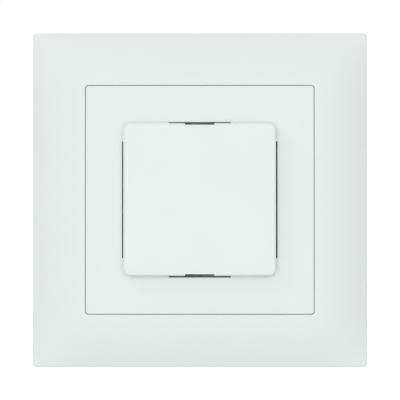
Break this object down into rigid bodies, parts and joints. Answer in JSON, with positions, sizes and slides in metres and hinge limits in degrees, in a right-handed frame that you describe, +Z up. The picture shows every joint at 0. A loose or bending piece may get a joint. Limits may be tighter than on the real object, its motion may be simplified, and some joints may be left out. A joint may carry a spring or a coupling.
{
  "type": "push button light switch",
  "caption": "Flush-mounted push button light switch: square crowned cover frame, centre plate, raised square button, steel support ring, changeover contact, claws and push-in terminals.",
  "frame": {"origin": "midpoint between the two box screws, on the back face of the support ring, which is the plane of the wall", "axes": "+Y points into the wall, +Z up, +X to the right when the switch is seen from the room"},
  "size_m": [0.081, 0.0395, 0.081],
  "materials": {
    "frame_plastic": "satin white thermoplastic",
    "plate_plastic": "satin white thermoplastic",
    "button_plastic": "satin white thermoplastic",
    "carrier_plastic": "natural moulded plastic",
    "cover_plastic": "grey moulded plastic",
    "housing_plastic": "light grey moulded plastic",
    "pad_plastic": "dark moulded plastic",
    "key_plastic": "orange moulded plastic",
    "ring_steel": "dark zinc-plated sheet steel",
    "claw_steel": "zinc-plated sheet steel",
    "screw_steel": "zinc-plated steel",
    "rivet_steel": "bright steel",
    "spring_steel": "spring wire and strip",
    "contact_brass": "stamped copper alloy strip",
    "contact_silver": "silver contact rivet"
  },
  "bodies": {
    "insert": {"cover_frame": "frame_plastic", "centre_plate": "plate_plastic", "support_ring": "ring_steel", "housing_cover": "cover_plastic", "assembly_rivets": "rivet_steel", "base_housing": "housing_plastic", "common_terminal": "contact_brass", "make_terminal": "contact_brass", "break_terminal": "contact_brass", "make_contact": "contact_silver", "break_contact": "contact_silver", "clamp_spring_upper_right": "spring_steel", "clamp_spring_upper_left": "spring_steel", "clamp_spring_lower_right": "spring_steel", "clamp_spring_lower_left": "spring_steel", "claw_pin_right": "rivet_steel", "claw_pin_left": "rivet_steel", "return_spring_upper": "spring_steel", "return_spring_lower": "spring_steel", "lever_spring": "spring_steel"},
    "button": {"button_cap": "button_plastic", "button_carrier": "carrier_plastic"},
    "see_saw": {"contact_lever": "contact_brass", "lever_pad": "pad_plastic", "moving_contact": "contact_silver"},
    "release_upper": {"release_key_upper": "key_plastic"},
    "release_lower": {"release_key_lower": "key_plastic"},
    "claw_right": {"claw_right": "claw_steel"},
    "claw_left": {"claw_left": "claw_steel"},
    "nut_right": {"claw_nut_right": "claw_steel"},
    "nut_left": {"claw_nut_left": "claw_steel"},
    "screw_right": {"claw_screw_right": "screw_steel"},
    "screw_left": {"claw_screw_left": "screw_steel"}
  },
  "joints": [
    {"name": "button_press", "type": "slide", "parent": "insert", "child": "button", "axis": [0, 1, 0], "range_m": [0, 0.0025], "stiffness_N_per_m": 700, "springref_m": -0.0015, "deforming": ["return_spring_upper", "return_spring_lower"]},
    {"name": "contact_swing", "type": "hinge", "parent": "insert", "child": "see_saw", "pos_m": [0.002, 0.011, 0], "axis": [0, 0, -1], "range_deg": [0, 14.33], "deforming": ["lever_spring"]},
    {"name": "release_upper_press", "type": "slide", "parent": "insert", "child": "release_upper", "axis": [0, -1, 0], "range_m": [0, 0.0012], "stiffness_N_per_m": 1500, "springref_m": -0.0008, "deforming": ["clamp_spring_upper_right", "clamp_spring_upper_left"]},
    {"name": "release_lower_press", "type": "slide", "parent": "insert", "child": "release_lower", "axis": [0, -1, 0], "range_m": [0, 0.0012], "stiffness_N_per_m": 1500, "springref_m": -0.0008, "deforming": ["clamp_spring_lower_right", "clamp_spring_lower_left"]},
    {"name": "claw_right_spread", "type": "hinge", "parent": "insert", "child": "claw_right", "pos_m": [0.0188, 0.0032, 0], "axis": [0, 0, -1], "range_deg": [0, 20]},
    {"name": "claw_left_spread", "type": "hinge", "parent": "insert", "child": "claw_left", "pos_m": [-0.0188, 0.0032, 0], "axis": [0, 0, 1], "range_deg": [0, 20]},
    {"name": "nut_right_travel", "type": "slide", "parent": "insert", "child": "nut_right", "axis": [0, -1, 0], "range_m": [0, 0.00116]},
    {"name": "nut_left_travel", "type": "slide", "parent": "insert", "child": "nut_left", "axis": [0, -1, 0], "range_m": [0, 0.00116]},
    {"name": "screw_right_turn", "type": "hinge", "parent": "insert", "child": "screw_right", "pos_m": [0.023, 0, 0], "axis": [0, 1, 0], "range_deg": [0, 592]},
    {"name": "screw_left_turn", "type": "hinge", "parent": "insert", "child": "screw_left", "pos_m": [-0.023, 0, 0], "axis": [0, 1, 0], "range_deg": [0, 592]}
  ],
  "couplings": [
    {"joint": "contact_swing", "follows": "button_press", "rad_per_m": 100},
    {"joint": "nut_right_travel", "follows": "claw_right_spread", "m_per_rad": 0.0032945},
    {"joint": "nut_left_travel", "follows": "claw_left_spread", "m_per_rad": 0.0032945},
    {"joint": "screw_right_turn", "follows": "claw_right_spread", "ratio": 29.57},
    {"joint": "screw_left_turn", "follows": "claw_left_spread", "ratio": 29.57}
  ]
}
